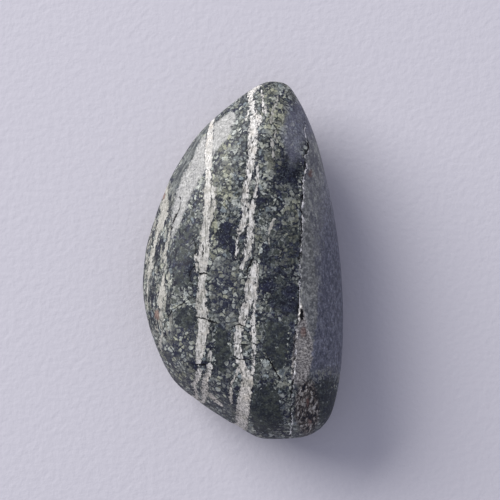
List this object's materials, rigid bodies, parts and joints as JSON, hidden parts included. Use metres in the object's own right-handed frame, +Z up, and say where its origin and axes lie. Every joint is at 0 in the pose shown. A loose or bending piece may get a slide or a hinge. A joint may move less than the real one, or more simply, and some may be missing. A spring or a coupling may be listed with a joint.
{
  "type": "tumbled serpentine rock",
  "caption": "Tumbled, polished pebble of banded serpentine, dark green and black with cream veins, lying on a flat spot.",
  "frame": {"origin": "on the surface that the stone rests on, under the middle of its box", "axes": "+Z up, out of the crown; +Y along the stone's length, towards its narrow tip; +X towards the steep flank beside the long crack"},
  "size_m": [0.0212, 0.038, 0.0112],
  "materials": {
    "serpentine": "polished serpentine: near-black green matrix with grey-green speckle, cream veins along the length, fine pits and cracks"
  },
  "bodies": {
    "root": {"serpentine_stone": "serpentine"}
  },
  "joints": []
}
